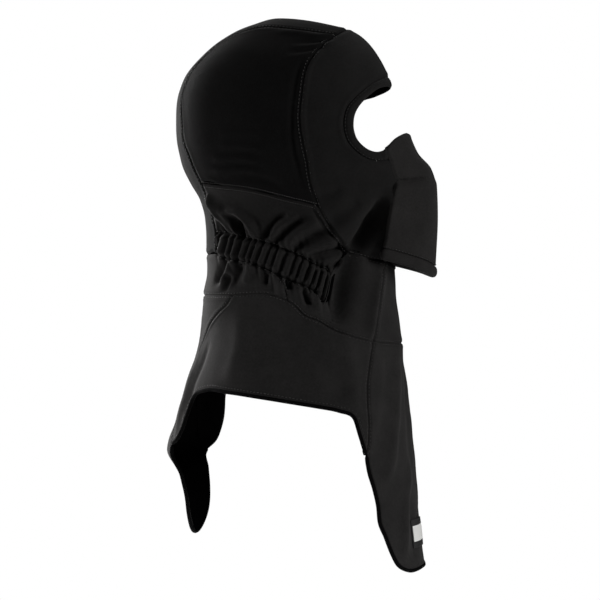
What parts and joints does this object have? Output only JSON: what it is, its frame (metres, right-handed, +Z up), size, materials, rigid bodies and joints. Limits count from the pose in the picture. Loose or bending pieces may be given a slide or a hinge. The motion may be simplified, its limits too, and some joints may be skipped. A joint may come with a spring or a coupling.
{
  "type": "balaclava",
  "caption": "Knitted ski balaclava with a panelled hood, gathered nape, eye opening, breathing mask that lifts at a crease, and a long bib open over the shoulders.",
  "frame": {"origin": "middle of the wearer's head at eye level, which is the mount named head", "axes": "+X the way the face looks, +Y the wearer's left, +Z up to the crown"},
  "size_m": [0.252, 0.1891, 0.5037],
  "materials": {
    "hood_cloth": "matt brushed jersey",
    "face_cloth": "matt brushed jersey",
    "mask_cloth": "fine ribbed stretch knit, slight sheen",
    "bib_cloth": "matt stretch jersey",
    "binding": "folded stretch tape, matt",
    "elastic": "woven elastic",
    "label": "flat printed tape"
  },
  "bodies": {
    "garment": {"crown_panel": "hood_cloth", "hood_side_right": "hood_cloth", "hood_side_left": "hood_cloth", "face_panel": "face_cloth", "mask_nose_panel": "mask_cloth", "nape_panel_right": "bib_cloth", "nape_panel_left": "bib_cloth", "gather_casing_right": "bib_cloth", "gather_casing_left": "bib_cloth", "lower_nape_panel": "bib_cloth", "neck_side_right": "bib_cloth", "neck_side_left": "bib_cloth", "neck_front_panel": "bib_cloth", "bib_side_right": "bib_cloth", "bib_side_left": "bib_cloth", "bib_front_panel": "bib_cloth", "bib_back_panel": "bib_cloth", "eye_opening_binding": "binding", "chin_edge_binding": "binding", "front_hem_binding": "binding", "back_hem_binding": "binding", "arch_binding_right": "binding", "arch_binding_left": "binding", "gather_elastic_right": "elastic", "gather_elastic_left": "elastic", "label_patch": "label"},
    "mask_flap": {"mask_mouth_panel": "mask_cloth", "mask_hem": "mask_cloth"}
  },
  "joints": [
    {"name": "mask_lift", "type": "hinge", "parent": "garment", "child": "mask_flap", "pos_m": [0.1427, 0, -0.0532], "axis": [0, -1, 0], "range_deg": [0, 60], "stiffness_Nm_per_rad": 0.01, "springref_deg": -22.92}
  ]
}
